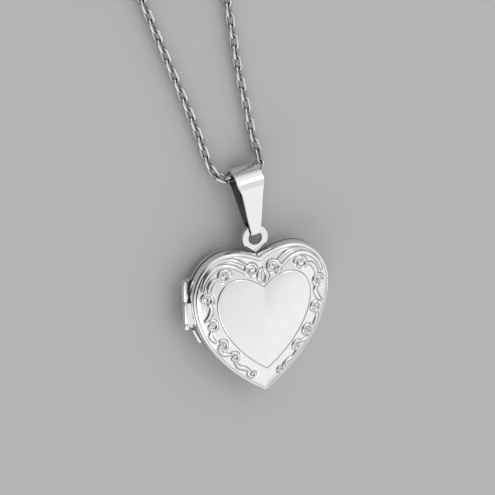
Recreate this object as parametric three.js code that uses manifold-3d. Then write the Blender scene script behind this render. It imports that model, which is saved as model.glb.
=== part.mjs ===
// Heart locket on a cable chain: two domed stainless steel covers on a side hinge, photo frames inside,
// a flat eye in the notch, a folded strap bail and a necklace chain laid in a coil with its lobster clasp.
// Millimetres, +Z up. The locket lies on its back on z = 0, its front faces +Z and its bail points to +Y.
import * as THREE from "three";
import { mergeVertices } from "three/addons/utils/BufferGeometryUtils.js";
import Module from "manifold-3d";

const wasm = await Module();
wasm.setup();

// ---- driving dimensions -------------------------------------------------------------------------
const HALF_WIDTH = 10.35; // heart, centre line to widest point
const LOBE_TOP = 9.55; // heart, highest point of a lobe
const NOTCH = 8.25; // heart, bottom of the notch
const TIP = -12.3; // heart, the point
const WIDEST_Y = 3.2;
const SHEET = 0.4; // thickness of the stamped covers
const PARTING = 2.5; // height of the plane where the covers meet
const PARTING_GAP = 0.2;
const THICKNESS = 5.0; // closed locket
const OUTLINE_STEPS = 9; // points on each of the three curves of half a heart

const HINGE_X = -10.86;
const KNUCKLE_RADIUS = 0.46;
const PIN_RADIUS = 0.2;
const PIN_CLEARANCE = 0.05;
const KNUCKLE_ENDS = [6.1, 3.05, -0.3, -1.15]; // along the axis, from the top
const STRAP_ENDS = [-1.3, -3.7]; // the contoured strap below the last knuckle
const KNUCKLE_GAP = 0.1;

const EYE_Y = 10.5; // centre of the hanging eye
const EYE_RADIUS = 1.87;
const EYE_HOLE = 1.02;
const EYE_BOTTOM = 1.5;
const EYE_THICKNESS = 0.85;

const BAIL_PIVOT = [11.9, 1.95]; // y, z of the eye's top arc, which the bail turns about
const BAIL_TOP = [19.0, 2.5]; // y, z of the centre of the upper fold
const BAIL_LOWER_RADIUS = 0.85; // inside the lower fold
const BAIL_UPPER_RADIUS = 2.1; // inside the upper fold
const BAIL_STRAP = 0.38; // strap thickness
// Distance from the pivot, width: narrow through the eye, a waist below the fold, widest at the fold
const BAIL_WIDTHS = [[0.0, 1.3], [1.0, 1.85], [2.5, 2.3], [5.0, 2.85], [6.4, 3.2], [7.6, 4.0]];
const BAIL_TOP_WIDTH = BAIL_WIDTHS[BAIL_WIDTHS.length - 1][1];
const BAIL_LEAN = (7.5 * Math.PI) / 180; // it hangs round the eye's ring to the hinge side

const CHAIN_WIDTH = 1.5; // across a link
const CHAIN_SIDES = 8;
const COIL_CENTRE = [-9.0, 63.5];
const COIL_MEAN = 8.25; // radius at the middle of the turns
const COIL_HALF = 2.3; // half the width of the wound ring, beside and on each other
const CLASP_PLACE = [6.6, 62.0]; // middle of the clasp
const CLASP_TURN = Math.PI; // its mouth is towards the locket
const END_RING_PLACE = [-21.4, 57.3];

// the box of the locket and its bail, without the chain, is centred on the origin
const BAIL_REACH = BAIL_TOP[0] + BAIL_UPPER_RADIUS + BAIL_STRAP - EYE_Y;
const TOP_Y = EYE_Y + BAIL_REACH * Math.cos(BAIL_LEAN) + (BAIL_TOP_WIDTH / 2) * Math.sin(BAIL_LEAN);
const ORIGIN_SHIFT = [-(HALF_WIDTH + HINGE_X - KNUCKLE_RADIUS) / 2, -(TIP + TOP_Y) / 2];

// ---- looks --------------------------------------------------------------------------------------
function steel(color, roughness) {
  return new THREE.MeshStandardMaterial({ color, roughness, metalness: 1 });
}
const POLISHED = steel(0xd9d9db, 0.12);
const BRUSHED = steel(0xc4c4c6, 0.3);
const CHAIN_STEEL = steel(0xb4b4b7, 0.22);
const SPRING_STEEL = steel(0x9c9ca0, 0.3);
const ACETATE = new THREE.MeshStandardMaterial({ color: 0xe8eef0, roughness: 0.08, metalness: 0 });

const group = new THREE.Group();
const locket = new THREE.Group();
locket.position.set(ORIGIN_SHIFT[0], ORIGIN_SHIFT[1], 0);
group.add(locket);

function addPart(name, geometry, material, parent = locket) {
  const mesh = new THREE.Mesh(geometry, material);
  mesh.name = name;
  parent.add(mesh);
  return mesh;
}

// ---- solids -------------------------------------------------------------------------------------
function welded(geometry) {
  const bare = geometry.clone();
  bare.deleteAttribute("normal");
  bare.deleteAttribute("uv");
  return mergeVertices(bare, 1e-4);
}

function toSolid(geometry) {
  const bare = welded(geometry);
  const mesh = new wasm.Mesh({
    numProp: 3,
    vertProperties: new Float32Array(bare.attributes.position.array),
    triVerts: new Uint32Array(bare.index.array),
  });
  mesh.merge();
  return new wasm.Manifold(mesh);
}

function toGeometry(solid) {
  const mesh = solid.getMesh();
  const geometry = new THREE.BufferGeometry();
  geometry.setAttribute("position", new THREE.BufferAttribute(new Float32Array(mesh.vertProperties), 3));
  geometry.setIndex(new THREE.BufferAttribute(new Uint32Array(mesh.triVerts), 1));
  geometry.computeVertexNormals();
  return geometry;
}

function cut(geometry, ...tools) {
  let solid = toSolid(geometry);
  for (const tool of tools) {
    solid = solid.subtract(toSolid(tool));
  }
  return toGeometry(solid);
}

function join(geometry, ...others) {
  let solid = toSolid(geometry);
  for (const other of others) {
    solid = solid.add(toSolid(other));
  }
  return toGeometry(solid);
}

function box(low, high) {
  const size = high.map((value, i) => value - low[i]);
  const geometry = new THREE.BoxGeometry(...size);
  return geometry.translate(...low.map((value, i) => value + size[i] / 2));
}

function plate(shape, bottom, thickness, curveSegments = 12) {
  const options = { depth: thickness, bevelEnabled: false, curveSegments };
  return new THREE.ExtrudeGeometry(shape, options).translate(0, 0, bottom);
}

// ---- the heart outline --------------------------------------------------------------------------
// Half a heart is three cubic curves: notch to lobe top, lobe top to widest point, widest point to tip.
function halfHeart(notch, lobe, widest, tip, handles, steps = OUTLINE_STEPS) {
  const [notchHandle, lobeIn, lobeOut, widestUp, widestDown, tipHandle] = handles;
  const point = (x, y) => new THREE.Vector2(x, y);
  const curves = [
    new THREE.CubicBezierCurve(
      point(0, notch), point(notchHandle[0], notch + notchHandle[1]),
      point(lobe[0] - lobeIn, lobe[1]), point(...lobe)),
    new THREE.CubicBezierCurve(
      point(...lobe), point(lobe[0] + lobeOut, lobe[1]),
      point(widest[0], widest[1] + widestUp), point(...widest)),
    new THREE.CubicBezierCurve(
      point(...widest), point(widest[0], widest[1] - widestDown),
      point(tipHandle[0], tip + tipHandle[1]), point(0, tip)),
  ];
  const points = [];
  for (const curve of curves) {
    points.push(...curve.getPoints(steps).slice(points.length ? 1 : 0));
  }
  return points;
}

function fullHeart(half) {
  const left = half.slice(1, -1).reverse();
  return [...half, ...left.map((p) => new THREE.Vector2(-p.x, p.y))].reverse();
}

const OUTER_SHAPE = [
  NOTCH, [4.6, LOBE_TOP], [HALF_WIDTH, WIDEST_Y], TIP, [[1.6, 0.8], 1.8, 3.0, 3.6, 7.5, [4.0, 2.5]]];
const OUTER = fullHeart(halfHeart(...OUTER_SHAPE));
// The plain panel inside the embossed border.
const PANEL = fullHeart(halfHeart(
  3.9, [3.75, 5.7], [6.9, 2.3], -8.2, [[0.95, 0.75], 1.5, 1.9, 1.9, 4.6, [2.5, 1.6]]));
const HEART_CENTRE = new THREE.Vector2(0, -0.4);

// inset 0 is the outer outline, 1 the panel, and 2 the heart's centre
function heartPoint(index, inset) {
  if (inset <= 1) {
    return OUTER[index].clone().lerp(PANEL[index], inset);
  }
  return PANEL[index].clone().lerp(HEART_CENTRE, inset - 1);
}

// Sweeps a closed section of [inset, z] points round the heart, as a lathe does round a circle.
// A section that starts and ends at the heart's centre gives a solid plate or a tray.
function heartLathe(section) {
  const count = OUTER.length;
  const positions = [];
  const triangles = [];
  const rings = section.map(([inset, z]) => {
    if (inset >= 2) {
      positions.push(HEART_CENTRE.x, HEART_CENTRE.y, z);
      return [positions.length / 3 - 1];
    }
    const first = positions.length / 3;
    for (let i = 0; i < count; i += 1) {
      const point = heartPoint(i, inset);
      positions.push(point.x, point.y, z);
    }
    return Array.from({ length: count }, (_, i) => first + i);
  });
  const closed = rings[0].length > 1;
  const bands = closed ? rings.length : rings.length - 1;
  for (let r = 0; r < bands; r += 1) {
    const lower = rings[r];
    const upper = rings[(r + 1) % rings.length];
    for (let i = 0; i < count; i += 1) {
      const next = (i + 1) % count;
      if (lower.length === 1) {
        triangles.push(lower[0], upper[next], upper[i]);
      } else if (upper.length === 1) {
        triangles.push(lower[i], lower[next], upper[0]);
      } else {
        triangles.push(lower[i], lower[next], upper[next], lower[i], upper[next], upper[i]);
      }
    }
  }
  const geometry = new THREE.BufferGeometry();
  geometry.setAttribute("position", new THREE.BufferAttribute(new Float32Array(positions), 3));
  geometry.setIndex(triangles);
  return geometry;
}

// ---- covers and what lies between them ----------------------------------------------------------
const WALL = 0.13; // inset of a cover's inside wall
const BACK_RIM = PARTING - PARTING_GAP / 2;
const FRONT_RIM = PARTING + PARTING_GAP / 2;

// A domed tray: outside from the flat face out to the rim, then back along the inside.
const backSection = [
  [2, 0], [0.6, 0], [0.3, 0.28], [0.13, 0.85], [0.05, 1.5], [0, 2.1], [0, BACK_RIM],
  [WALL, BACK_RIM], [WALL, 1.9], [0.2, 1.4], [0.32, 0.9], [0.48, 0.62], [0.7, SHEET], [2, SHEET],
];
const frontSection = [
  [2, THICKNESS - SHEET], [0.9, THICKNESS - SHEET], [0.5, 4.15], [0.22, 3.75], [WALL, 3.4], [WALL, FRONT_RIM],
  [0, FRONT_RIM], [0, 3.35], [0.04, 3.78], [0.12, 4.07], [0.25, 4.3], [0.5, 4.62], [0.93, 4.85], [0.97, 4.8],
  [1.0, 4.9], [1.03, THICKNESS], [2, THICKNESS],
];

const TONGUE_LOW = [HALF_WIDTH - 0.87, WIDEST_Y - 1.5, 1.75];
const TONGUE_HIGH = [HALF_WIDTH - 0.62, WIDEST_Y + 1.3, 3.3];
const BEAD_LOW = [HALF_WIDTH - 0.58, WIDEST_Y - 0.8, 1.95];
const BEAD_HIGH = [HALF_WIDTH - 0.47, WIDEST_Y + 0.7, 2.3];
const tongueSlot = box(
  [HALF_WIDTH - 0.97, WIDEST_Y - 1.6, 1.6], [HALF_WIDTH - 0.1, WIDEST_Y + 1.4, 3.4]);

addPart("back_cover", heartLathe(backSection), POLISHED);

addPart("front_cover", heartLathe(frontSection), POLISHED);

// The liners close the hollow of each cover and carry the photo recess.
const LINER_EDGE = 0.17;
const LINER_DEPTH = 0.5; // liner face below the rim
const LINER_THICKNESS = 0.25;
function linerSection(face, direction) {
  const back = face + direction * LINER_THICKNESS;
  const [low, high] = [Math.min(face, back), Math.max(face, back)];
  return [[2, low], [LINER_EDGE, low], [LINER_EDGE, high], [2, high]];
}
addPart("back_liner", cut(heartLathe(linerSection(BACK_RIM - LINER_DEPTH, -1)), tongueSlot), BRUSHED);
addPart("front_liner", cut(heartLathe(linerSection(FRONT_RIM + LINER_DEPTH, 1)), tongueSlot), BRUSHED);

// A clear heart lies on each liner, and a frame with a lip over its edge is pressed in round it.
const FRAME_OUT = 0.42;
const FRAME_IN = 0.8;
const LIP_IN = 0.95;
const FIT = 0.04;
const FRAME_HEIGHT = 0.42;
const LIP_LOW = 0.32; // height of the lip's underside above the liner
const PHOTO_COVER_TOP = 0.26;
const PHOTO_COVER_IN = FRAME_IN + 0.05; // inset of the clear cover's edge, just inside the frame
function framePieces(prefix, liner, direction) {
  const at = (height) => liner + direction * height;
  const inOrder = (section) => (direction > 0 ? section : [...section].reverse());
  const frame = [
    [FRAME_IN, at(FIT)], [FRAME_OUT, at(FIT)], [FRAME_OUT, at(FRAME_HEIGHT)],
    [LIP_IN, at(FRAME_HEIGHT)], [LIP_IN, at(LIP_LOW)], [FRAME_IN, at(LIP_LOW)],
  ];
  const cover = [
    [2, at(FIT)], [PHOTO_COVER_IN, at(FIT)], [PHOTO_COVER_IN, at(PHOTO_COVER_TOP)], [2, at(PHOTO_COVER_TOP)],
  ];
  addPart(`${prefix}_photo_frame`, heartLathe(inOrder(frame)), POLISHED);
  addPart(`${prefix}_photo_cover`, heartLathe(inOrder(cover)), ACETATE);
}
framePieces("back", BACK_RIM - LINER_DEPTH, 1);
framePieces("front", FRONT_RIM + LINER_DEPTH, -1);

// The tongue on the front snaps past a bead on the back cover's inside wall.
addPart("catch_tongue", box(TONGUE_LOW, TONGUE_HIGH), POLISHED);
addPart("catch_bead", box(BEAD_LOW, BEAD_HIGH), POLISHED);

// ---- hinge --------------------------------------------------------------------------------------
// A leaf reaches from the barrel to the cover's wall, and is cut to the heart's outline.
const LEAF_END_X = HINGE_X + 2.5; // well inside the heart, where the outline cuts the leaf off
const BORE_LENGTH = 30; // longer than any knuckle
function knuckle(top, bottom, leafLow, leafHigh) {
  const barrel = (radius) => new THREE.CylinderGeometry(radius, radius, top - bottom, 28)
    .translate(HINGE_X, (top + bottom) / 2, PARTING);
  const leaf = box([HINGE_X, bottom, leafLow], [LEAF_END_X, top, leafHigh]);
  const bore = new THREE.CylinderGeometry(
    PIN_RADIUS + PIN_CLEARANCE, PIN_RADIUS + PIN_CLEARANCE, BORE_LENGTH, 16).translate(HINGE_X, 0, PARTING);
  const heart = heartLathe([[2, -1], [-0.02, -1], [-0.02, 7], [2, 7]]);
  return cut(join(barrel(KNUCKLE_RADIUS), leaf), bore, heart);
}
const backLeaf = [1.55, 2.35];
const frontLeaf = [2.65, 3.4];
const knuckles = [["upper", backLeaf], ["middle", frontLeaf], ["lower", backLeaf]];
knuckles.forEach(([place, leaf], i) => {
  const top = KNUCKLE_ENDS[i] - KNUCKLE_GAP / 2;
  const bottom = KNUCKLE_ENDS[i + 1] + KNUCKLE_GAP / 2;
  addPart(`hinge_knuckle_${place}`, knuckle(top, bottom, ...leaf), POLISHED);
});
// The strap follows the outline on the back cover's side, below the knuckles.
const STRAP_INSIDE = 0.06; // distances of the strap's two faces outside the outline
const STRAP_OUTSIDE = 0.5;
const STRAP_LOW = 1.35;
const STRAP_HEIGHT = 1.0;
function contourStrap() {
  const side = halfHeart(...OUTER_SHAPE, 5 * OUTLINE_STEPS)
    .filter((point) => point.y < STRAP_ENDS[0] && point.y > STRAP_ENDS[1])
    .map((point) => new THREE.Vector2(-point.x, point.y));
  const outwards = (distance) => side.map((point) => {
    const direction = point.clone().sub(HEART_CENTRE).normalize();
    return point.clone().addScaledVector(direction, distance);
  });
  const shape = new THREE.Shape([...outwards(STRAP_INSIDE), ...outwards(STRAP_OUTSIDE).reverse()]);
  return plate(shape, STRAP_LOW, STRAP_HEIGHT);
}
addPart("hinge_strap", contourStrap(), POLISHED);
const pinLength = KNUCKLE_ENDS[0] - KNUCKLE_ENDS[3] - KNUCKLE_GAP;
addPart(
  "hinge_pin",
  new THREE.CylinderGeometry(PIN_RADIUS, PIN_RADIUS, pinLength, 16)
    .translate(HINGE_X, (KNUCKLE_ENDS[0] + KNUCKLE_ENDS[3]) / 2, PARTING),
  BRUSHED,
);

// ---- hanging eye --------------------------------------------------------------------------------
function eyeTab() {
  const neck = 1.5;
  const shape = new THREE.Shape();
  shape.moveTo(0, NOTCH + 0.12);
  shape.lineTo(neck, NOTCH + 1.35);
  shape.lineTo(neck, EYE_Y - 1.1);
  const side = Math.atan2(-1.1, neck);
  shape.absarc(0, EYE_Y, EYE_RADIUS, side, Math.PI - side, false);
  shape.lineTo(-neck, NOTCH + 1.35);
  shape.closePath();
  const hole = new THREE.Path();
  hole.absarc(0, EYE_Y, EYE_HOLE, 0, 2 * Math.PI, true);
  shape.holes.push(hole);
  return plate(shape, EYE_BOTTOM, EYE_THICKNESS, 20);
}
addPart("eye_tab", eyeTab(), POLISHED);

// ---- bail ---------------------------------------------------------------------------------------
// Side view of the folded strap: two round folds joined by straight runs, like a belt on two pulleys.
function beltPoint(turn, extra) {
  const [y0, z0] = BAIL_PIVOT;
  const [y1, z1] = BAIL_TOP;
  const along = Math.atan2(z1 - z0, y1 - y0);
  const lean = Math.asin((BAIL_UPPER_RADIUS - BAIL_LOWER_RADIUS) / Math.hypot(y1 - y0, z1 - z0));
  const upperHalf = Math.PI / 2 + lean;
  const onUpper = turn < 0.5;
  const share = onUpper ? turn / 0.5 : (turn - 0.5) / 0.5;
  const start = onUpper ? along - upperHalf : along + upperHalf;
  const sweep = onUpper ? 2 * upperHalf : 2 * (Math.PI - upperHalf);
  const angle = start + share * sweep;
  const [cy, cz, radius] = onUpper ? [y1, z1, BAIL_UPPER_RADIUS] : [y0, z0, BAIL_LOWER_RADIUS];
  return [cy + (radius + extra) * Math.cos(angle), cz + (radius + extra) * Math.sin(angle)];
}

function bailWidth(y) {
  const away = y - BAIL_PIVOT[0];
  let width = BAIL_WIDTHS[0][1];
  BAIL_WIDTHS.slice(1).forEach(([distance, wider], i) => {
    const [before, narrower] = BAIL_WIDTHS[i];
    const share = Math.min(1, Math.max(0, (away - before) / (distance - before)));
    width += (wider - narrower) * share;
  });
  return width;
}

function bailStrap() {
  const perFold = 14;
  // extra sections on each straight run, where the width changes
  const runShares = [0, 0.1, 0.15, 0.3, 0.35, 0.65, 0.7, 0.85, 0.9];
  const sections = [];
  for (const fold of [0, 0.5]) {
    for (let i = 0; i < perFold; i += 1) {
      const turn = fold + (0.4999 * i) / perFold;
      sections.push([beltPoint(turn, 0), beltPoint(turn, BAIL_STRAP)]);
    }
    const end = [beltPoint(fold + 0.4999, 0), beltPoint(fold + 0.4999, BAIL_STRAP)];
    const next = (fold + 0.5) % 1;
    const start = [beltPoint(next, 0), beltPoint(next, BAIL_STRAP)];
    for (const share of fold === 0 ? runShares : runShares.map((value) => (value ? 1 - value : 0)).sort()) {
      sections.push(end.map((point, k) => point.map((value, c) => value + (start[k][c] - value) * share)));
    }
  }
  const positions = [];
  for (const [inside, outside] of sections) {
    const half = bailWidth(inside[0]) / 2;
    positions.push(-half, ...outside, half, ...outside, half, ...inside, -half, ...inside);
  }
  const triangles = [];
  for (let i = 0; i < sections.length; i += 1) {
    const here = 4 * i;
    const next = 4 * ((i + 1) % sections.length);
    for (let k = 0; k < 4; k += 1) {
      const other = (k + 1) % 4;
      triangles.push(here + k, next + other, here + other, here + k, next + k, next + other);
    }
  }
  const geometry = new THREE.BufferGeometry();
  geometry.setAttribute("position", new THREE.BufferAttribute(new Float32Array(positions), 3));
  geometry.setIndex(triangles);
  return geometry;
}
const leaning = new THREE.Group(); // turned about the eye's centre
leaning.position.set(0, EYE_Y, 0);
leaning.rotation.z = BAIL_LEAN;
locket.add(leaning);
addPart("bail", bailStrap().translate(0, -EYE_Y, 0), POLISHED, leaning);

// ---- chain --------------------------------------------------------------------------------------
// Tubes of the chain's outer size. Each route lies on the surface, at half the chain's width above it.
function chainTube(points, steps) {
  const curve = new THREE.CatmullRomCurve3(points.map((p) => new THREE.Vector3(...p)), false, "centripetal");
  const section = new THREE.Shape();
  section.absarc(0, 0, CHAIN_WIDTH / 2, 0, 2 * Math.PI, false);
  return new THREE.ExtrudeGeometry(section, { steps, extrudePath: curve, curveSegments: CHAIN_SIDES });
}
const REST = CHAIN_WIDTH / 2 + 0.05;
const IN_BAIL = [
  [-3.55, 19.45, 1.5], [-2.35, 19.55, 1.62], [-1.18, 19.66, 1.66], [0.0, 19.82, 1.62], [0.6, 19.92, 1.55],
];
const LEFT_STRAND = [
  [-3.95, 19.5, 1.4], [-5.1, 20.4, 0.95], [-5.9, 22.3, REST], [-7.5, 27.7, REST], [-9.9, 34.6, REST],
  [-12.4, 41.7, REST], [-14.9, 48.8, REST], [-16.5, 53.0, REST], [-17.4, 55.8, REST],
];
const RIGHT_STRAND = [
  [1.25, 20.05, 1.5], [1.6, 21.1, 1.25], [1.5, 22.5, 0.9], [0.85, 25.0, REST], [0.1, 29.5, REST],
  [-0.7, 34.0, REST], [-1.4, 40.0, REST], [-2.1, 46.4, REST], [-2.0, 54.4, REST],
];
addPart("chain_in_bail", chainTube(IN_BAIL, 8), CHAIN_STEEL);
addPart("chain_left", chainTube(LEFT_STRAND, 14), CHAIN_STEEL);
addPart("chain_right", chainTube(RIGHT_STRAND, 14), CHAIN_STEEL);

// The rest of the chain is wound into a neat ring beside the locket.
const ringSection = [];
for (let i = 0; i <= 12; i += 1) {
  const angle = (2 * Math.PI * i) / 12;
  ringSection.push(new THREE.Vector2(COIL_MEAN + COIL_HALF * Math.cos(angle), COIL_HALF * Math.sin(angle)));
}
const coil = addPart("chain_coil", new THREE.LatheGeometry(ringSection, 40), CHAIN_STEEL);
coil.rotation.x = Math.PI / 2;
coil.position.set(COIL_CENTRE[0], COIL_CENTRE[1], COIL_HALF);

// ---- clasp --------------------------------------------------------------------------------------
// Drawn pointing to +Y with its middle at the origin, then turned and placed beside the coil.
const CLASP_THICKNESS = 1.8;
const LEVER_THICKNESS = 0.8;
const LEVER_PIVOT = [1.35, -1.7];
const LEVER_GAP = 0.12;
const clasp = new THREE.Group();
clasp.position.set(CLASP_PLACE[0], CLASP_PLACE[1], 0);
clasp.rotation.z = CLASP_TURN;
locket.add(clasp);

function ellipseShape(cx, cy, rx, ry) {
  const shape = new THREE.Shape();
  shape.absellipse(cx, cy, rx, ry, 0, 2 * Math.PI, false, 0);
  return shape;
}

const CLASP_HALF_SIZE = [2.35, 4.1];
const TAIL_LOW = [-0.95, -5.25, 0.85];
const TAIL_HIGH = [0.95, -3.5, 1.45];
const TAIL_HOLE_Y = -4.5;
const TAIL_HOLE_RADIUS = 0.5;
const THROAT_CENTRE = [-0.05, 0.9];
const THROAT_HALF_SIZE = [1.15, 2.0];
const GATE_TOP = 2.55; // the gate is open from the middle of the clasp up to here
const SLOT_ENDS = [-2.75, 1.0];
const SLOT_X = 0.15;
const BELOW = -1; // cutters run from below the clasp to above it
const CUTTER_HEIGHT = 4;
const LEVER_BORE = 0.3;
const LEVER_PIN_RADIUS = 0.24;
function claspBody() {
  const body = plate(ellipseShape(0, 0, ...CLASP_HALF_SIZE), 0, CLASP_THICKNESS, 16);
  const tail = box(TAIL_LOW, TAIL_HIGH);
  const through = (x, y, halfWidth, halfHeight, steps) => (
    plate(ellipseShape(x, y, halfWidth, halfHeight), BELOW, CUTTER_HEIGHT, steps));
  const tailHole = through(0, TAIL_HOLE_Y, TAIL_HOLE_RADIUS, TAIL_HOLE_RADIUS, 8);
  const throat = through(...THROAT_CENTRE, ...THROAT_HALF_SIZE, 12);
  const gate = box([0, 0, BELOW], [CUTTER_HEIGHT, GATE_TOP, CUTTER_HEIGHT]);
  const middle = CLASP_THICKNESS / 2;
  const half = LEVER_THICKNESS / 2 + LEVER_GAP;
  const slot = box([SLOT_X, SLOT_ENDS[0], middle - half], [CUTTER_HEIGHT, SLOT_ENDS[1], middle + half]);
  const bore = through(...LEVER_PIVOT, LEVER_BORE, LEVER_BORE, 8);
  return cut(join(body, tail), tailHole, throat, gate, slot, bore);
}

function claspLever() {
  const shape = new THREE.Shape();
  shape.moveTo(0.85, -2.3);
  shape.lineTo(2.35, -1.9);
  shape.lineTo(2.75, -0.9);
  shape.lineTo(2.05, -0.2);
  shape.quadraticCurveTo(2.2, 1.0, 1.75, 2.4);
  shape.lineTo(1.15, 2.4);
  shape.quadraticCurveTo(1.5, 0.6, 0.85, -0.9);
  shape.closePath();
  const hole = new THREE.Path();
  hole.absarc(...LEVER_PIVOT, LEVER_BORE, 0, 2 * Math.PI, true);
  shape.holes.push(hole);
  return plate(shape, (CLASP_THICKNESS - LEVER_THICKNESS) / 2, LEVER_THICKNESS, 8);
}
addPart("clasp_body", claspBody(), POLISHED, clasp);
addPart("clasp_lever", claspLever(), POLISHED, clasp);
const LEVER_PIN_LOW = 0.02;
const LEVER_PIN_LENGTH = 1.76;
const leverPin = ellipseShape(...LEVER_PIVOT, LEVER_PIN_RADIUS, LEVER_PIN_RADIUS);
addPart("clasp_pin", plate(leverPin, LEVER_PIN_LOW, LEVER_PIN_LENGTH, 8), BRUSHED, clasp);
const SPRING_LOW = [0.2, -2.4, 0.6];
const SPRING_HIGH = [0.32, -1.15, 1.2];
addPart("clasp_spring", box(SPRING_LOW, SPRING_HIGH), SPRING_STEEL, clasp);

// Rings at the ends of the chain: one through the clasp's tail, one that the clasp closes on.
const claspRing = addPart("clasp_ring", new THREE.TorusGeometry(1.05, 0.24, 8, 24), POLISHED, clasp);
claspRing.rotation.y = Math.PI / 2;
claspRing.position.set(0, -5.5, 1.3);
const endRing = addPart("end_ring", new THREE.TorusGeometry(1.7, 0.28, 8, 28), POLISHED);
endRing.position.set(END_RING_PLACE[0], END_RING_PLACE[1], 0.3);

export default group;
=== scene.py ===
"""Heart locket on a cable chain, in polished stainless steel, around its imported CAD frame."""

import math

import bmesh
import bpy
import numpy as np
from mathutils import Matrix, Vector


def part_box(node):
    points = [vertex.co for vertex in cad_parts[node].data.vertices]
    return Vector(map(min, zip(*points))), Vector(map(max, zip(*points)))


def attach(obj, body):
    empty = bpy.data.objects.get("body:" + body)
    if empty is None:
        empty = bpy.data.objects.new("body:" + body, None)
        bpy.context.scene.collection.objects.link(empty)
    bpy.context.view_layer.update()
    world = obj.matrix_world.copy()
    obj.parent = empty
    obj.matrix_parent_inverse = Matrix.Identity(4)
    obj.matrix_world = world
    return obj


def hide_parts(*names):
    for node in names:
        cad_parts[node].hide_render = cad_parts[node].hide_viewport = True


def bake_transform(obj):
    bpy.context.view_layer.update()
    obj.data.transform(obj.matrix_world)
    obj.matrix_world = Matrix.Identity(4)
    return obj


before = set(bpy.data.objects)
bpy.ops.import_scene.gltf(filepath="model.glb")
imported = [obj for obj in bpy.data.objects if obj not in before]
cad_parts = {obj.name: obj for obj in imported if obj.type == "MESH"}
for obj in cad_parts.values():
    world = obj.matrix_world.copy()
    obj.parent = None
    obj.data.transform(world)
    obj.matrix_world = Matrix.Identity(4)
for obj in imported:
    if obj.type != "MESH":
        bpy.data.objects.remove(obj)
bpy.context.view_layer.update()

# ---- the heart's own frame: millimetres, origin in the middle of the heart at the back face ------
MM = 0.001
HALF_WIDTH = 10.35
TIP = -12.3
NOTCH = 8.25
cover_low, cover_high = (Vector(corner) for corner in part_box("front_cover"))
ORIGIN = Vector(((cover_low.x + cover_high.x) / 2, cover_low.y - TIP * MM, 0.0))


def at(x, y, z=0.0):
    """A point of the heart's own frame, in the row frame."""
    return ORIGIN + Vector((x, y, z)) * MM


# ---- camera: long lens, from the upper left of the locket's face ---------------------------------
VIEW_FROM = Vector((-0.33, 0.36, 0.873)).normalized()
VIEW_RIGHT = Vector((0.929, -0.042, 0.368))
VIEW_CENTRE = (-0.66, 7.7)  # millimetres right of and above the heart's origin, in the picture plane
CAMERA_DISTANCE = 0.4
VIEW_WIDTH = 0.070
SENSOR = 36.0
CLIP_START = 0.01
CLIP_END = 10.0


def make_camera():
    """A camera turned so that the picture's right is as near VIEW_RIGHT as the view allows."""
    right = (VIEW_RIGHT - VIEW_FROM * VIEW_RIGHT.dot(VIEW_FROM)).normalized()
    up = VIEW_FROM.cross(right)
    target = ORIGIN + (right * VIEW_CENTRE[0] + up * VIEW_CENTRE[1]) * MM
    camera = bpy.data.objects.new("camera", bpy.data.cameras.new("camera"))
    camera.data.sensor_width = SENSOR
    camera.data.lens = SENSOR * CAMERA_DISTANCE / VIEW_WIDTH
    camera.data.clip_start = CLIP_START
    camera.data.clip_end = CLIP_END
    turn = Matrix((right, up, VIEW_FROM)).transposed().to_4x4()
    camera.matrix_world = Matrix.Translation(target + VIEW_FROM * CAMERA_DISTANCE) @ turn
    bpy.context.scene.collection.objects.link(camera)
    bpy.context.scene.camera = camera


make_camera()


# ---- mesh helpers --------------------------------------------------------------------------------
BEVEL_ANGLE = 40  # degrees
SHARP_ANGLE = 50
FLAT_ANGLE = 1  # faces closer to one plane than this are joined
WELD = 1e-7  # metres


def tube_faces(around, across):
    """Quads of a closed tube whose points come ring by ring. They look into the tube."""
    faces = []
    for i in range(around):
        for k in range(across):
            j, m = (i + 1) % around, (k + 1) % across
            faces.append((i * across + k, i * across + m, j * across + m, j * across + k))
    return faces


def shade_points(piece, shades):
    """How dark each point is painted, as painted shade, for the materials that take it."""
    attribute = piece.data.attributes.new("painted_shade", "FLOAT", "POINT")
    attribute.data.foreach_set("value", shades)


def curve_through(points, steps):
    """A smooth curve through the points, with so many steps from each one to the next."""
    p = np.array(points, float)
    p = np.vstack([2 * p[0] - p[1], p, 2 * p[-1] - p[-2]])
    t = np.linspace(0, 1, steps, endpoint=False)[:, None]
    dense = []
    for a, b, c, d in zip(p[:-3], p[1:-2], p[2:-1], p[3:]):
        dense.append(0.5 * (2 * b + (c - a) * t + (2 * a - 5 * b + 4 * c - d) * t**2
                            + (3 * b - a - 3 * c + d) * t**3))
    return np.vstack([*dense, p[-2:-1]])


def add_mesh(name, points, faces, smooth=True):
    mesh = bpy.data.meshes.new(name)
    mesh.from_pydata([tuple(p) for p in points], [], faces)
    mesh.update()
    if smooth:
        mesh.polygons.foreach_set("use_smooth", [True] * len(mesh.polygons))
    piece = bpy.data.objects.new(name, mesh)
    bpy.context.scene.collection.objects.link(piece)
    return piece


def finish_piece(piece, body, material, replaces=()):
    piece.data.materials.clear()
    piece.data.materials.append(material)
    if body:
        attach(piece, body)
    if replaces:
        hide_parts(*replaces)
    return piece


def bevel(piece, width, segments):
    """Rounds off the edges sharper than BEVEL_ANGLE, with a width in millimetres."""
    modifier = piece.modifiers.new("edge", "BEVEL")
    modifier.width = width * MM
    modifier.segments = segments
    modifier.limit_method = "ANGLE"
    modifier.angle_limit = math.radians(BEVEL_ANGLE)
    modifier.harden_normals = False
    return piece


def sharp_shading(piece):
    """Smooth shading that keeps the edges sharper than SHARP_ANGLE."""
    bm = bmesh.new()
    bm.from_mesh(piece.data)
    limit = math.radians(SHARP_ANGLE)
    for edge in bm.edges:
        edge.smooth = len(edge.link_faces) != 2 or edge.calc_face_angle(0) < limit
    for face in bm.faces:
        face.smooth = True
    bm.to_mesh(piece.data)
    bm.free()
    return piece


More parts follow.
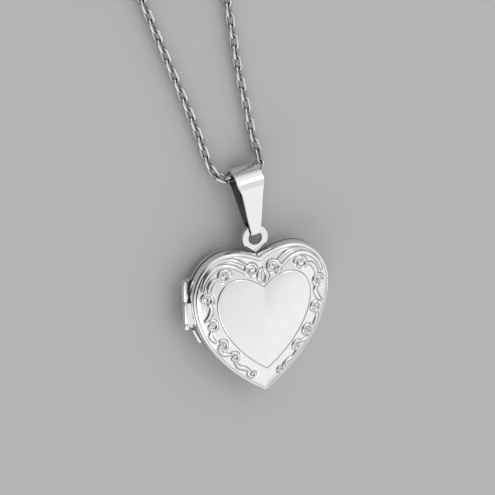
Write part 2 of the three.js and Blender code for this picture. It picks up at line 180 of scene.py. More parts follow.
# ---- materials -----------------------------------------------------------------------------------
# Sizes of the steel's patterns, in features per metre
MOTTLE = 900.0
TINT = 350.0
WAVES = 130.0
HAIRLINES = 2500.0
HAIRLINE_STRETCH = (1.0, 14.0, 4.0)
CLOUDING = 1500.0
# Depths of the uneven polish and of the scratches, in metres
WAVE_DEPTH = 0.0003
SCRATCH_DEPTH = 0.00002
WAVE_STRENGTH = 0.1
TINT_SHARE = 0.94  # the darker tint's share of the steel's colour
ROUGHNESS_SPREAD = (0.7, 1.4)
NOISE_MIDDLE = (0.3, 0.7)  # where nearly all of the noise lies
# Near-black of the painted shade, mixed into the steel's colour where points are marked for it
PAINTED_SHADE_COLOR = (0.05, 0.05, 0.052, 1)


def new_material(name):
    material = bpy.data.materials.new(name)
    material.use_nodes = True
    return material, material.node_tree, material.node_tree.nodes["Principled BSDF"]


def noise(tree, scale, stretch=(1, 1, 1), detail=4.0):
    """Noise in the object's own coordinates, in features per metre."""
    place = tree.nodes.new("ShaderNodeTexCoord")
    mapping = tree.nodes.new("ShaderNodeMapping")
    mapping.inputs["Scale"].default_value = stretch
    texture = tree.nodes.new("ShaderNodeTexNoise")
    texture.inputs["Scale"].default_value = scale
    texture.inputs["Detail"].default_value = detail
    tree.links.new(place.outputs["Object"], mapping.inputs["Vector"])
    tree.links.new(mapping.outputs["Vector"], texture.inputs["Vector"])
    return texture.outputs["Fac"]


def ramp(tree, value, low, high, start, end):
    """Spreads a value's range from start to end over low to high."""
    spread = tree.nodes.new("ShaderNodeMapRange")
    spread.inputs["From Min"].default_value = start
    spread.inputs["From Max"].default_value = end
    spread.inputs["To Min"].default_value = low
    spread.inputs["To Max"].default_value = high
    tree.links.new(value, spread.inputs["Value"])
    return spread.outputs["Result"]


def steel(name, color, roughness, scratch=0.05, with_painted_shade=False):
    """Polished steel: hairline scratches, a slight polish mottle and, if asked, painted shade darkening its
    recesses.
    """
    material, tree, shader = new_material(name)
    shader.inputs["Metallic"].default_value = 1.0
    smoothest, roughest = (roughness * share for share in ROUGHNESS_SPREAD)
    rough = ramp(tree, noise(tree, MOTTLE, detail=3.0), smoothest, roughest, *NOISE_MIDDLE)
    tree.links.new(rough, shader.inputs["Roughness"])
    tint = tree.nodes.new("ShaderNodeMix")
    tint.data_type = "RGBA"
    tint.inputs["A"].default_value = (*[c * TINT_SHARE for c in color], 1)
    tint.inputs["B"].default_value = (*color, 1)
    tree.links.new(noise(tree, TINT), tint.inputs["Factor"])
    shade = tint.outputs["Result"]
    # Painted shade: the colour is darkened towards near-black where the points are marked for it
    if with_painted_shade:
        depth = tree.nodes.new("ShaderNodeAttribute")
        depth.attribute_name = "painted_shade"
        dark = tree.nodes.new("ShaderNodeMix")
        dark.data_type = "RGBA"
        dark.inputs["B"].default_value = PAINTED_SHADE_COLOR
        tree.links.new(depth.outputs["Fac"], dark.inputs["Factor"])
        tree.links.new(shade, dark.inputs["A"])
        shade = dark.outputs["Result"]
    tree.links.new(shade, shader.inputs["Base Color"])
    waves = tree.nodes.new("ShaderNodeBump")
    waves.inputs["Strength"].default_value = WAVE_STRENGTH
    waves.inputs["Distance"].default_value = WAVE_DEPTH
    tree.links.new(noise(tree, WAVES, detail=1.5), waves.inputs["Height"])
    hairlines = noise(tree, HAIRLINES, HAIRLINE_STRETCH, 6.0)
    bump = tree.nodes.new("ShaderNodeBump")
    bump.inputs["Strength"].default_value = scratch
    bump.inputs["Distance"].default_value = SCRATCH_DEPTH
    tree.links.new(hairlines, bump.inputs["Height"])
    tree.links.new(waves.outputs["Normal"], bump.inputs["Normal"])
    tree.links.new(bump.outputs["Normal"], shader.inputs["Normal"])
    return material


def acetate():
    material, tree, shader = new_material("clear acetate")
    shader.inputs["Base Color"].default_value = (0.93, 0.95, 0.95, 1)
    shader.inputs["Transmission Weight"].default_value = 0.9
    shader.inputs["IOR"].default_value = 1.48
    rough = ramp(tree, noise(tree, CLOUDING), 0.03, 0.12, *NOISE_MIDDLE)
    tree.links.new(rough, shader.inputs["Roughness"])
    return material


POLISHED = steel("polished steel", (0.86, 0.86, 0.87), 0.10)
EMBOSSED = steel("embossed steel", (0.86, 0.86, 0.87), 0.12, with_painted_shade=True)
SATIN = steel("satin steel", (0.74, 0.74, 0.75), 0.3, 0.3)
CHAIN_STEEL = steel("chain steel", (0.64, 0.64, 0.65), 0.13, with_painted_shade=True)
SPRING_STEEL = steel("spring steel", (0.5, 0.5, 0.52), 0.3, 0.2)
ACETATE = acetate()


# ---- the necklace chain --------------------------------------------------------------------------
CHAIN_WIDTH = 1.5
REST = CHAIN_WIDTH / 2 + 0.05
LINK_WIRE = 0.46
LINK_PITCH = 1.55
LINK_AROUND = 20  # points round a link, and round its wire
LINK_ACROSS = 8
LINK_ROLL = 45  # degrees that the links are turned by, one to each side in turn
COIL_CENTRE = (-9.0, 63.5)
COIL_MEAN = 8.25
COIL_MIDDLE = 2.3  # height of the middle of the wound ring
IN_BAIL = [
    (-3.55, 19.45, 1.5), (-2.35, 19.55, 1.62), (-1.18, 19.66, 1.66), (0.0, 19.82, 1.62), (0.6, 19.92, 1.55),
]
LEFT_STRAND = [
    (-3.95, 19.5, 1.4), (-5.1, 20.4, 0.95), (-5.9, 22.3, REST), (-7.5, 27.7, REST), (-9.9, 34.6, REST),
    (-12.4, 41.7, REST), (-14.9, 48.8, REST), (-16.5, 53.0, REST), (-17.4, 55.8, REST),
]
RIGHT_STRAND = [
    (1.25, 20.05, 1.5), (1.6, 21.1, 1.25), (1.5, 22.5, 0.9), (0.85, 25.0, REST), (0.1, 29.5, REST),
    (-0.7, 34.0, REST), (-1.4, 40.0, REST), (-2.1, 46.4, REST), (-2.0, 54.4, REST),
]
CLASP_END = [(6.6, 68.8, 1.3), (6.2, 70.6, REST), (4.2, 72.6, 1.2)]
RING_END = [(-19.9, 67.0, 1.6), (-21.0, 63.4, REST), (-21.4, 59.3, 0.6)]
# Places of the turns across the wound ring, outwards and upwards from its middle, touching each other
TURNS_FROM_CLASP = [(1.3, 0.75), (1.3, -0.75)]
TURNS_TO_RING = [(0, -1.5), (-1.3, -0.75), (0, 0), (-1.3, 0.75), (0, 1.5)]
STEPS_PER_TURN = 36
TURN_SHIFT = 0.25  # last part of a place's share, over which the winding moves to the next place
CLASP_WINDING = (62, 538)  # angles where each winding starts and ends
RING_WINDING = (0, 5 * 360 + 130)
CURVE_STEPS = 12
PATH_SPACING = 0.7


def coil_points(places, start, end):
    """Points of a winding between two angles, with an equal share of it at each place."""
    count = int(STEPS_PER_TURN * abs(end - start) / 360)
    points = []
    for i in range(count + 1):
        angle = start + (end - start) * i / count
        turn = (angle - start) / (end - start) * len(places)
        index = min(int(turn), len(places) - 1)
        share = min(1.0, max(0.0, (turn - index - (1 - TURN_SHIFT)) / TURN_SHIFT))
        after = places[min(index + 1, len(places) - 1)]
        out = places[index][0] + (after[0] - places[index][0]) * share
        rise = places[index][1] + (after[1] - places[index][1]) * share
        radius = COIL_MEAN + out
        a = math.radians(angle)
        points.append((COIL_CENTRE[0] + radius * math.cos(a), COIL_CENTRE[1] + radius * math.sin(a),
                       COIL_MIDDLE + rise))
    return points


def smooth_route(points, spacing):
    """Even points on a smooth curve through the given ones, and its length."""
    dense = curve_through(points, CURVE_STEPS)
    run = np.r_[0, np.cumsum(np.linalg.norm(np.diff(dense, axis=0), axis=1))]
    count = int(round(run[-1] / spacing))
    even = np.linspace(0, run[-1], count + 1)
    return np.column_stack([np.interp(even, run, dense[:, k]) for k in range(3)]), run[-1]


def link_ring():
    """One oval wire link, along X, as points and quads."""
    straight = (LINK_PITCH + 2 * LINK_WIRE - CHAIN_WIDTH) / 2
    radius = (CHAIN_WIDTH - LINK_WIRE) / 2
    points = []
    for i in range(LINK_AROUND):
        a = 2 * math.pi * (i + 0.5) / LINK_AROUND
        end = math.copysign(straight, math.cos(a))
        middle = Vector((end + radius * math.cos(a), radius * math.sin(a), 0))
        outward = Vector((math.cos(a), math.sin(a), 0))
        for k in range(LINK_ACROSS):
            b = 2 * math.pi * k / LINK_ACROSS
            around_wire = outward * math.cos(b) + Vector((0, 0, math.sin(b)))
            points.append(middle + around_wire * LINK_WIRE / 2)
    outward_faces = [(a, d, c, b) for a, b, c, d in tube_faces(LINK_AROUND, LINK_ACROSS)]
    return points, outward_faces


def link_painted_shade():
    """How dark each point of a link is painted, as painted shade: its inside, and most of all its two
    inside ends.
    """
    shades = []
    for i in range(LINK_AROUND):
        end = abs(math.cos(2 * math.pi * (i + 0.5) / LINK_AROUND)) ** 2
        for k in range(LINK_ACROSS):
            inside = min(1.0, max(0.0, 0.35 - math.cos(2 * math.pi * k / LINK_ACROSS)))
            shades.append(inside * (0.5 + 0.45 * end))
    return shades


def make_chain():
    route = [
        *CLASP_END,
        *coil_points(TURNS_FROM_CLASP, *CLASP_WINDING),
        *reversed(LEFT_STRAND),
        *IN_BAIL,
        *RIGHT_STRAND,
        *coil_points(TURNS_TO_RING, *RING_WINDING),
        *RING_END,
    ]
    centres, length = smooth_route(route, LINK_PITCH)
    ring, quads = link_ring()
    points, faces = [], []
    up = Vector((0, 0, 1))
    for i in range(len(centres) - 1):
        start, end = Vector(centres[i]), Vector(centres[i + 1])
        along = (end - start).normalized()
        side = up.cross(along).normalized()
        over = along.cross(side)
        roll = math.radians(LINK_ROLL if i % 2 else -LINK_ROLL)
        y_axis = side * math.cos(roll) + over * math.sin(roll)
        z_axis = along.cross(y_axis)
        middle = (start + end) / 2
        base = len(points)
        points.extend(at(*(middle + along * p.x + y_axis * p.y + z_axis * p.z)) for p in ring)
        faces.extend(tuple(base + k for k in quad) for quad in quads)
    chain = add_mesh("necklace_chain", points, faces)
    # Painted shade on the links' insides and inside ends
    shade_points(chain, link_painted_shade() * (len(centres) - 1))
    finish_piece(chain, None, CHAIN_STEEL,
                 ("chain_left", "chain_right", "chain_in_bail", "chain_coil"))
    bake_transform(chain)
    path, _ = smooth_route(route, PATH_SPACING)
    path = [tuple(at(*p)) for p in path]
    return chain


# ---- refined CAD pieces --------------------------------------------------------------------------
def refined(node, body, material, edge=0.06, segments=3):
    """A copy of a CAD node with its edges rounded, edge millimetres wide, as polishing leaves them."""
    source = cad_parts[node]
    bm = bmesh.new()
    bm.from_mesh(source.data)
    bmesh.ops.remove_doubles(bm, verts=bm.verts, dist=WELD)
    bmesh.ops.dissolve_limit(bm, angle_limit=math.radians(FLAT_ANGLE), verts=bm.verts, edges=bm.edges)
    mesh = bpy.data.meshes.new(f"{node}_fine")
    bm.to_mesh(mesh)
    bm.free()
    piece = bpy.data.objects.new(f"{node}_fine", mesh)
    bpy.context.scene.collection.objects.link(piece)
    finish_piece(piece, body, material, (node,))
    mesh.polygons.foreach_set("use_smooth", [True] * len(mesh.polygons))
    bevel(piece, edge, segments)
    weighted = piece.modifiers.new("normals", "WEIGHTED_NORMAL")
    weighted.keep_sharp = True
    return piece


RING_AROUND = 64
RING_ACROSS = 20
END_RING_RADIUS = 1.7
END_RING_WIRE = 0.28  # radius of the ring's wire
CLASP_RING_RADIUS = 1.05
CLASP_RING_WIRE = 0.24


def steel_ring(node, radius, wire, axis):
    """A round wire ring in a CAD ring's place. wire is the wire's radius."""
    centre = middle_of(node)
    points = []
    first = Vector((0, 0, 1)) if abs(axis.z) < 0.5 else Vector((1, 0, 0))
    second = axis.cross(first)
    for i in range(RING_AROUND):
        a = 2 * math.pi * i / RING_AROUND
        outward = first * math.cos(a) + second * math.sin(a)
        for k in range(RING_ACROSS):
            b = 2 * math.pi * k / RING_ACROSS
            offset = outward * (radius + wire * math.cos(b)) + axis * wire * math.sin(b)
            points.append(at(*(centre + offset)))
    ring = add_mesh(f"{node}_wire", points, tube_faces(RING_AROUND, RING_ACROSS))
    return finish_piece(ring, "locket_back", POLISHED, (node,))


def middle_of(node):
    """The middle of a CAD node's box, in the heart's own frame."""
    low, high = (Vector(corner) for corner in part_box(node))
    return ((low + high) / 2 - ORIGIN) / MM


end_ring = steel_ring("end_ring", END_RING_RADIUS, END_RING_WIRE, Vector((0, 0, 1)))
clasp_ring = steel_ring("clasp_ring", CLASP_RING_RADIUS, CLASP_RING_WIRE, Vector((1, 0, 0)))
clasp_body = refined("clasp_body", "locket_back", POLISHED, 0.16, 4)
clasp_lever = refined("clasp_lever", "clasp_lever_body", POLISHED, 0.12)
clasp_pin = refined("clasp_pin", "locket_back", SATIN, 0.04)
clasp_spring = refined("clasp_spring", "locket_back", SPRING_STEEL, 0.02)
make_chain()


# ---- heart-shaped pieces -------------------------------------------------------------------------
def bezier(p0, p1, p2, p3, count):
    """A cubic curve from p0 to p3, drawn towards p1 and p2 on its way."""
    t = np.linspace(0, 1, count + 1)[:, None]
    p0, p1, p2, p3 = (np.array(p, float) for p in (p0, p1, p2, p3))
    return (1 - t) ** 3 * p0 + 3 * (1 - t) ** 2 * t * p1 + 3 * (1 - t) * t**2 * p2 + t**3 * p3


def heart_outline(notch, lobe, widest, tip, handles, steps):
    """Three cubic curves from notch to tip and their mirror image, counter-clockwise to the notch."""
    notch_handle, lobe_in, lobe_out, widest_up, widest_down, tip_handle = handles
    curves = [
        bezier((0, notch), (notch_handle[0], notch + notch_handle[1]), (lobe[0] - lobe_in, lobe[1]),
               lobe, steps[0]),
        bezier(lobe, (lobe[0] + lobe_out, lobe[1]), (widest[0], widest[1] + widest_up), widest, steps[1]),
        bezier(widest, (widest[0], widest[1] - widest_down), (tip_handle[0], tip + tip_handle[1]),
               (0, tip), steps[2]),
    ]
    half = np.vstack([curves[0], curves[1][1:], curves[2][1:]])
    left = half[1:-1][::-1] * [-1, 1]
    return np.vstack([half, left])[::-1]


OUTER_SHAPE = (NOTCH, (4.6, 9.55), (HALF_WIDTH, 3.2), TIP, ((1.6, 0.8), 1.8, 3.0, 3.6, 7.5, (4.0, 2.5)))
PANEL_SHAPE = (3.9, (3.75, 5.7), (6.9, 2.3), -8.2, ((0.95, 0.75), 1.5, 1.9, 1.9, 4.6, (2.5, 1.6)))
HEART_CENTRE = np.array((0, -0.4))
# Steps along the outline's three curves
FINE = (70, 90, 200)
MEDIUM = (20, 26, 46)


def heart_grid(insets, steps):
    """Points for each inset: 0 is the outline, 1 the plain panel and 2 the heart's centre."""
    outer = heart_outline(*OUTER_SHAPE, steps)
    panel = heart_outline(*PANEL_SHAPE, steps)
    rings = []
    for inset in insets:
        if inset <= 1:
            rings.append(outer + (panel - outer) * inset)
        else:
            rings.append(panel + (HEART_CENTRE - panel) * (inset - 1))
    return np.array(rings)


def heart_lathe(name, section, steps, closed=False, relief=None):
    """Sweeps a section of (inset, height) round the heart. relief adds to the heights and gives each
    point's painted shade.
    """
    rings = heart_grid([inset for inset, _ in section], steps)
    count = rings.shape[1]
    heights = np.repeat(np.array([z for _, z in section])[:, None], count, axis=1)
    painted_shade = np.zeros_like(heights)
    if relief is not None:
        heights, painted_shade = relief(rings, heights, section)
    points = [at(x, y, z) for ring, row in zip(rings, heights) for (x, y), z in zip(ring, row)]
    faces = []
    for r in range(len(section) if closed else len(section) - 1):
        a, b = r * count, (r + 1) % len(section) * count
        for i in range(count):
            j = (i + 1) % count
            faces.append((a + i, a + j, b + j, b + i))
    # Painted shade of each point, with none at the two hubs
    shades = list(painted_shade.ravel())
    if not closed:
        for ring, flip in ((0, True), (len(section) - 1, False)):
            points.append(at(*HEART_CENTRE, section[ring][1]))
            shades.append(0.0)
            hub = len(points) - 1
            base = ring * count
            for i in range(count):
                j = (i + 1) % count
                faces.append((base + j, base + i, hub) if flip else (base + i, base + j, hub))
    piece = add_mesh(name, points, faces)
    shade_points(piece, shades)
    return piece


def rounded(section, step):
    """The section with extra points, a step of inset or three steps of height apart."""
    out = []
    for (k0, z0), (k1, z1) in zip(section, section[1:]):
        count = max(1, int(round(max(abs(k1 - k0), abs(z1 - z0) / 3) / step)))
        out.extend((k0 + (k1 - k0) * i / count, z0 + (z1 - z0) * i / count) for i in range(count))
    return [*out, section[-1]]


def arc_section(start, corner, end, count):
    """A rounded corner between two section points."""
    out = []
    for i in range(count + 1):
        t = i / count
        out.append(tuple((1 - t) ** 2 * s + 2 * (1 - t) * t * c + t**2 * e
                         for s, c, e in zip(start, corner, end)))
    return out


# ---- sizes of the covers: heights above the back face, and the walls' thickness ------------------
SHEET = 0.4
PARTING = 2.5
BACK_RIM = 2.4
FRONT_RIM = 2.6
FACE = 5.0
WALL = 0.13  # an inset
PANEL_END = 1.95  # inset of the innermost ring, close round the heart's centre

# ---- embossed scrollwork of the border -----------------------------------------------------------
RIDGE_HEIGHT = 0.15
STEM_WIDTH = 0.32  # half widths of the ridges, at their fullest
SCROLL_WIDTH = 0.24
THIN_END = 0.4  # share of the full width left at a stem's two ends and a scroll's inner end
GROOVE_WIDTH = 0.09
GROOVE_DEPTH = 0.07
BORDER_INSETS = (0.17, 0.93)
BORDER_FADE = 0.05  # inset over which the relief fades out at the border's two edges
BORDER_BOTTOM = 3.9  # the relief is above this height, on both sides as in a pressed sheet
RIDGE_ROUNDING = 0.7
GROOVE_OFFSET = 0.03
# Painted shade in the sunk lines beside the ridges
GROOVE_PAINTED_SHADE = 0.5
# Painted shade in lines round the panel and round the rim: inset, half width and darkness
PANEL_LINE = (0.965, 0.02, 0.5)
RIM_LINE = (0.13, 0.012, 0.35)
# Painted shade along the parting of the two covers: its reach in height and darkness
PARTING_REACH = 0.2
PARTING_PAINTED_SHADE = 0.85
RIDGE_REACH = 1.5  # ridges further from a point than this leave it alone
FAR = 9.0
SCROLL_STEPS = 60
SCROLL_CLOSING = 0.8  # share of its radius that a scroll winds in by
STEM_STEPS = 10
# The relief of the heart's right half, which the left half mirrors
# Each scroll: centre, radius, turns, angle of its open end and hand
SCROLLS = [
    ((1.55, 6.7), 1.1, 1.35, -60, 1),
    ((5.75, 6.5), 0.98, 1.3, 160, -1),
    ((8.5, 3.6), 0.95, 1.25, -110, -1),
    ((7.85, -0.5), 0.86, 1.15, 80, 1),
    ((6.45, -3.8), 0.84, 1.2, 70, 1),
    ((4.75, -5.85), 0.74, 1.1, 60, 1),
    ((2.1, -8.9), 0.66, 1.1, 40, -1),
]
# Flowing stems between the scrolls
STEMS = [
    [(2.4, 7.6), (3.4, 8.25), (4.7, 8.75), (6.3, 8.7), (7.7, 8.0), (8.8, 6.7), (9.4, 5.2)],
    [(1.9, 6.0), (2.9, 6.75), (4.5, 7.75), (6.2, 7.95), (7.6, 7.3), (8.6, 6.1), (9.0, 4.9)],
    [(6.6, 6.4), (7.4, 6.1), (8.0, 5.3), (8.1, 4.5)],
    [(8.2, 3.0), (7.8, 2.2), (8.2, 1.0), (8.8, 0.3)],
    [(8.0, -1.2), (8.0, -2.2), (7.4, -3.1)],
    [(7.0, -4.3), (6.4, -5.1), (5.4, -5.3)],
    [(4.75, -6.5), (4.1, -7.5), (3.2, -7.9), (2.6, -8.3)],
    [(0.12, 4.7), (0.55, 5.3), (0.55, 6.0), (0.15, 6.7)],
]


def scroll_line(centre, radius, turns, open_angle, hand):
    """A spiral from its open end inwards, with a small bead's width left in the middle."""
    t = np.linspace(0, 1, SCROLL_STEPS)
    angle = math.radians(open_angle) + hand * 2 * math.pi * turns * t
    reach = radius * (1 - SCROLL_CLOSING * t**1.25)
    return np.column_stack([centre[0] + reach * np.cos(angle), centre[1] + reach * np.sin(angle)])


def ridges():
    """Every ridge as its middle line and its half width along that line."""
    for scroll in SCROLLS:
        line = scroll_line(*scroll)
        yield line, SCROLL_WIDTH * np.linspace(1, THIN_END, len(line))
    for stem in STEMS:
        line = curve_through(stem, STEM_STEPS)
        swell = np.sin(np.linspace(0, math.pi, len(line)))
        yield line, STEM_WIDTH * (THIN_END + (1 - THIN_END) * swell)


def ridge_profile(points):
    """Each point's share of the way to its nearest ridge's edge, and its distance past that edge."""
    folded = points.copy()
    folded[:, 0] = np.abs(folded[:, 0])
    share_out = np.full(len(points), FAR)
    past_edge = np.full(len(points), FAR)
    for line, widths in ridges():
        for a, b, width in zip(line[:-1], line[1:], widths):
            along = b - a
            near = np.linalg.norm(folded - a, axis=1) < RIDGE_REACH
            if not near.any():
                continue
            offset = folded[near] - a
            place = np.clip(offset @ along / max(along @ along, 1e-12), 0, 1)
            gap = np.linalg.norm(offset - place[:, None] * along, axis=1)
            share_out[near] = np.minimum(share_out[near], gap / width)
            past_edge[near] = np.minimum(past_edge[near], gap - width)
    return share_out, past_edge


def parting_shade(heights):
    """Painted shade: darkens the rims where the two covers meet."""
    return np.where(np.abs(heights - PARTING) < PARTING_REACH, PARTING_PAINTED_SHADE, 0.0)


def back_shade(rings, heights, section):
    """No relief, only the painted shade on the rim."""
    return heights, parting_shade(heights)


def border_relief(rings, heights, section):
    """Raised scroll ridges with a sunk line along their sides, fading out at the border's edges. Painted
    shade darkens the sunk lines, the engraved lines round the panel and rim, and the parting.
    """
    insets = np.array([inset for inset, _ in section])
    is_high = np.array([z for _, z in section]) > BORDER_BOTTOM
    use = (insets > BORDER_INSETS[0]) & (insets < BORDER_INSETS[1]) & is_high
    painted_shade = np.zeros_like(heights)
    profile = ridge_profile(rings[use].reshape(-1, 2))
    share_out, past_edge = (values.reshape(heights[use].shape) for values in profile)
    inset = insets[use][:, None]
    fade_in = np.clip((inset - BORDER_INSETS[0]) / BORDER_FADE, 0, 1)
    fade_out = np.clip((BORDER_INSETS[1] - inset) / BORDER_FADE, 0, 1)
    fade = fade_in * fade_out
    ridge = np.clip(1 - share_out**2, 0, 1) ** RIDGE_ROUNDING
    groove = np.exp(-((past_edge - GROOVE_OFFSET) / GROOVE_WIDTH) ** 2)
    heights[use] += fade * (RIDGE_HEIGHT * ridge - GROOVE_DEPTH * groove)
    # Painted shade in the sunk lines and along the engraved lines
    painted_shade[use] = fade * GROOVE_PAINTED_SHADE * groove
    for place, half_width, darkness in (PANEL_LINE, RIM_LINE):
        painted_shade[(np.abs(insets - place) < half_width) & is_high] = darkness
    return heights, np.maximum(painted_shade, parting_shade(heights))


# ---- covers --------------------------------------------------------------------------------------
# Sections are lists of (inset, height), with the insets of heart_grid. The front's runs from the middle
# out over its inside and back over its outside; the back's runs out over its outside and back inside.
front_outside = [
    *arc_section((0.02, FRONT_RIM), (0, FRONT_RIM), (0, FRONT_RIM + 0.16), 4),
    *arc_section((0, 3.3), (0.0, 3.85), (0.1, 4.03), 8),
    (0.115, 4.02), (0.13, 3.97), (0.145, 4.03), (0.16, 4.12),
    *rounded([(0.18, 4.19), (0.3, 4.36), (0.5, 4.58), (0.92, 4.8)], 0.0125),
    # the engraved line, then the slightly domed panel
    (0.94, 4.81), (0.955, 4.78), (0.965, 4.75), (0.975, 4.78), (0.99, 4.86),
    (1.0, 4.89), (1.02, 4.92), (1.035, 4.932), (1.06, 4.94), (1.2, 4.955), (1.4, 4.974), (1.6, 4.988),
    (1.8, 4.996), (PANEL_END, FACE),
]
front_inside = [
    (PANEL_END, FACE - SHEET), (0.9, FACE - SHEET), (0.5, 4.15), (0.22, 3.75), (WALL, 3.4),
    (WALL, FRONT_RIM + 0.03), (WALL - 0.01, FRONT_RIM),
]
front_cover = heart_lathe(
    "front_cover_shell", [*front_inside, *front_outside], FINE, relief=border_relief)
finish_piece(front_cover, "locket_front", EMBOSSED, ("front_cover",))

back_section = [
    (PANEL_END, 0), (0.6, 0), *arc_section((0.5, 0.01), (0.12, 0.1), (0.05, 1.5), 14),
    *arc_section((0.03, 1.75), (0, 2.0), (0, BACK_RIM - 0.16), 3),
    *arc_section((0, BACK_RIM - 0.14), (0, BACK_RIM), (0.02, BACK_RIM), 4),
    (WALL - 0.01, BACK_RIM), (WALL, BACK_RIM - 0.03),
    (WALL, 1.9), (0.2, 1.4), (0.32, 0.9), (0.48, 0.62), (0.7, SHEET), (PANEL_END, SHEET),
]
back_cover = heart_lathe("back_cover_shell", back_section, MEDIUM, relief=back_shade)
finish_piece(back_cover, "locket_back", EMBOSSED, ("back_cover",))

# ---- frames, clear covers and liners inside ------------------------------------------------------
FIT = 0.04
LINER_DROP = 0.5  # from each cover's rim down to its liner
# Heights above the liner
FRAME_TOP = 0.42
LIP_BOTTOM = 0.32
CLEAR_TOP = 0.26
# Insets: the frame's outside and inside walls, the end of the lip over the clear heart, and that heart
FRAME_OUTSIDE = 0.42
FRAME_INSIDE = 0.8
LIP_END = 0.95
CLEAR_OUTSIDE = 0.85


def inside_pieces(prefix, body, liner, direction):
    """The frame and the clear heart that it holds, facing the parting plane."""
    def height(value):
        return liner + direction * value

    ring = [
        (FRAME_INSIDE, height(FIT)), (FRAME_OUTSIDE, height(FIT)),
        (FRAME_OUTSIDE, height(0.36)), (0.44, height(FRAME_TOP)),
        (0.93, height(FRAME_TOP)), (LIP_END, height(0.4)),
        (LIP_END, height(LIP_BOTTOM)), (FRAME_INSIDE, height(LIP_BOTTOM)),
    ]
    clear = [
        (PANEL_END, height(FIT)), (CLEAR_OUTSIDE, height(FIT)),
        (CLEAR_OUTSIDE, height(CLEAR_TOP)), (PANEL_END, height(CLEAR_TOP)),
    ]
    if direction < 0:
        ring, clear = ring[::-1], clear[::-1]
    frame_piece = heart_lathe(f"{prefix}_frame_ring", ring, MEDIUM, closed=True)
    sharp_shading(frame_piece)
    finish_piece(frame_piece, body, POLISHED, (f"{prefix}_photo_frame",))
    cover_piece = heart_lathe(f"{prefix}_clear_heart", clear, MEDIUM)
    sharp_shading(cover_piece)
    finish_piece(cover_piece, body, ACETATE, (f"{prefix}_photo_cover",))
    refined(f"{prefix}_liner", body, SATIN, 0.03, 2)


inside_pieces("back", "locket_back", BACK_RIM - LINER_DROP, 1)
inside_pieces("front", "locket_front", FRONT_RIM + LINER_DROP, -1)

refined("catch_tongue", "locket_front", POLISHED, 0.05)
refined("catch_bead", "locket_back", POLISHED, 0.03)
refined("hinge_strap", "locket_back", POLISHED, 0.1)
for place, body in (("upper", "locket_back"), ("middle", "locket_front"), ("lower", "locket_back")):
    refined(f"hinge_knuckle_{place}", body, POLISHED, 0.05)
refined("hinge_pin", "locket_back", SATIN, 0.04)
refined("eye_tab", "locket_back", POLISHED, 0.16, 4)


# ---- bail ----------------------------------------------------------------------------------------
EYE_Y = 10.5
BAIL_LEAN = math.radians(7.5)
BAIL_PIVOT = (11.9, 1.95)
BAIL_TOP = (19.0, 2.5)
BAIL_RADII = (0.85, 2.1)
BAIL_STRAP = 0.38
# Distances from the pivot, and the widths there
BAIL_WIDTHS = ((0.0, 1.0, 2.5, 5.0, 6.4, 7.6), (1.3, 1.85, 2.3, 2.85, 3.2, 4.0))
BAIL_EDGE = 0.07  # width of the strap's slanted edges
BAIL_MARGIN = 0.02  # how far the strap's two side faces stand in from its full width
FOLD_STEPS = 32
STRAP_SPACING = 0.5
INNER_PAINTED_SHADE = 0.72  # painted shade on the strap's inside


def belt_points():
    """The middle line of the strap's inside, round both folds, as (y, z, outward y, outward z)."""
    (y0, z0), (y1, z1) = BAIL_PIVOT, BAIL_TOP
    along = math.atan2(z1 - z0, y1 - y0)
    lean = math.asin((BAIL_RADII[1] - BAIL_RADII[0]) / math.hypot(y1 - y0, z1 - z0))
    upper_half = math.pi / 2 + lean
    folds = [
        (BAIL_TOP, BAIL_RADII[1], along - upper_half, 2 * upper_half),
        (BAIL_PIVOT, BAIL_RADII[0], along + upper_half, 2 * (math.pi - upper_half)),
    ]
    out = []
    for (cy, cz), radius, start, sweep in folds:
        for i in range(FOLD_STEPS + 1):
            a = start + sweep * i / FOLD_STEPS
            out.append((cy + radius * math.cos(a), cz + radius * math.sin(a), math.cos(a), math.sin(a)))
    dense = []
    for here, after in zip(out, out[1:] + out[:1]):
        gap = math.hypot(after[0] - here[0], after[1] - here[1])
        count = max(1, int(gap / STRAP_SPACING))
        dense.extend(tuple(h + (n - h) * k / count for h, n in zip(here, after)) for k in range(count))
    return dense


def leaning(x, y, z):
    """A point of the upright bail, turned about the eye's centre to where it hangs."""
    away = y - EYE_Y
    return at(x * math.cos(BAIL_LEAN) - away * math.sin(BAIL_LEAN),
              EYE_Y + x * math.sin(BAIL_LEAN) + away * math.cos(BAIL_LEAN), z)


def make_bail():
    points, inner_shade = [], []
    line = belt_points()
    top, corner = BAIL_STRAP, BAIL_STRAP - BAIL_EDGE
    # the strap's section: side, how far in from the full width, and height above the inside
    section = [
        (-1, BAIL_MARGIN, BAIL_EDGE), (-1, BAIL_MARGIN, corner), (-1, BAIL_EDGE, top), (0, 0, top),
        (1, BAIL_EDGE, top), (1, BAIL_MARGIN, corner), (1, BAIL_MARGIN, BAIL_EDGE), (1, BAIL_EDGE, 0),
        (0, 0, 0), (-1, BAIL_EDGE, 0),
    ]
    for y, z, out_y, out_z in line:
        half = np.interp(y - BAIL_PIVOT[0], *BAIL_WIDTHS) / 2
        for side, margin, rise in section:
            points.append(leaning(side * (half - margin), y + out_y * rise, z + out_z * rise))
            # The strap's inside gets painted shade
            inner_shade.append(INNER_PAINTED_SHADE if rise == 0 else 0.0)
    bail = add_mesh("bail_strap", points, tube_faces(len(line), len(section)))
    shade_points(bail, inner_shade)
    sharp_shading(bail)
    return finish_piece(bail, "bail_body", EMBOSSED, ("bail",))


make_bail()


# ---- floor and light -----------------------------------------------------------------------------
FLOOR_REACH = 1.2
FLOOR_DROP = 0.0002
FLOOR_GREY = 0.5
SKY_BOTTOM = 0.3
SKY_TOP = (0.84, 0.84, 0.85, 1)
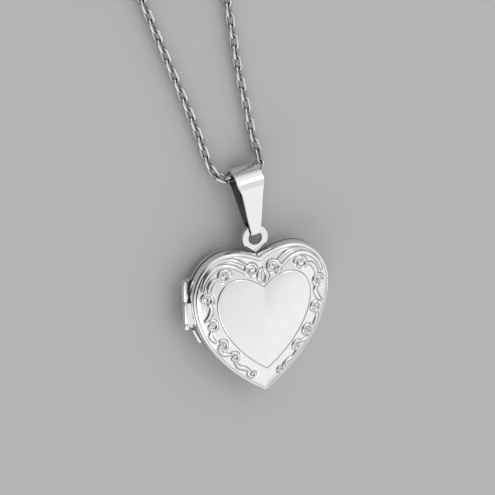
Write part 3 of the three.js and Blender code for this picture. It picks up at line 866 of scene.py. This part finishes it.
# Height in the sky, and grey there. The panel mirrors the sky close to the step after 0.855.
SKY_STOPS = ((0.2, 0.62), (0.5, 1.0), (0.855, 1.04), (0.89, 0.84))
DARK_SIDE = (-0.93, 0.12, 0.36)  # the unlit side of the room
DARK_GREY = 0.04
DARK_EDGE = (0.62, 0.86)  # cosines of the angles from it where the dark starts and is full
DARK_SHARE = 0.93
# Lamps: direction, distance, size and power
KEY_LAMP = ((0.4, 0.6, 1.0), 0.6, 0.2, 0.22)
FILL_LAMP = ((-0.7, -0.6, 0.7), 0.6, 0.5, 0.5)


def make_floor():
    sides = ((-1, -1), (1, -1), (1, 1), (-1, 1))
    corners = [(x * FLOOR_REACH, y * FLOOR_REACH, -FLOOR_DROP) for x, y in sides]
    floor = add_mesh("floor", corners, [(0, 1, 2, 3)], smooth=False)
    material, tree, shader = new_material("pale floor")
    shader.inputs["Base Color"].default_value = (FLOOR_GREY, FLOOR_GREY, FLOOR_GREY, 1)
    shader.inputs["Roughness"].default_value = 0.8
    floor.data.materials.append(material)


def area_light(name, direction, distance, size, power):
    light = bpy.data.lights.new(name, "AREA")
    light.shape = "DISK"
    light.size = size
    light.energy = power
    lamp = bpy.data.objects.new(name, light)
    way = Vector(direction).normalized()
    lamp.location = ORIGIN + way * distance
    lamp.rotation_euler = way.to_track_quat("Z", "Y").to_euler()
    bpy.context.scene.collection.objects.link(lamp)


def make_light():
    """A room that brightens with height and has one dark side, and two lamps."""
    world = bpy.data.worlds.new("studio")
    bpy.context.scene.world = world
    world.use_nodes = True
    tree = world.node_tree
    background = tree.nodes["Background"]
    place = tree.nodes.new("ShaderNodeTexCoord")
    split = tree.nodes.new("ShaderNodeSeparateXYZ")
    colors = tree.nodes.new("ShaderNodeValToRGB")
    tree.links.new(place.outputs["Generated"], split.inputs["Vector"])
    tree.links.new(split.outputs["Z"], colors.inputs["Fac"])
    toward = tree.nodes.new("ShaderNodeVectorMath")
    toward.operation = "DOT_PRODUCT"
    toward.inputs[1].default_value = Vector(DARK_SIDE).normalized()
    tree.links.new(place.outputs["Generated"], toward.inputs[0])
    opening = ramp(tree, toward.outputs["Value"], 0.0, DARK_SHARE, *DARK_EDGE)
    shade = tree.nodes.new("ShaderNodeMix")
    shade.data_type = "RGBA"
    shade.inputs["B"].default_value = (DARK_GREY, DARK_GREY, DARK_GREY, 1)
    tree.links.new(opening, shade.inputs["Factor"])
    tree.links.new(colors.outputs["Color"], shade.inputs["A"])
    tree.links.new(shade.outputs["Result"], background.inputs["Color"])
    stops = colors.color_ramp.elements
    stops[0].position = 0.0
    stops[0].color = (SKY_BOTTOM, SKY_BOTTOM, SKY_BOTTOM, 1)
    stops[1].position = 1.0
    stops[1].color = SKY_TOP
    for position, grey in SKY_STOPS:
        stop = stops.new(position)
        stop.color = (grey, grey, grey, 1)
    background.inputs["Strength"].default_value = 1.0
    area_light("key", *KEY_LAMP)
    area_light("fill", *FILL_LAMP)


make_floor()
make_light()

bpy.context.scene.view_settings.view_transform = "Standard"
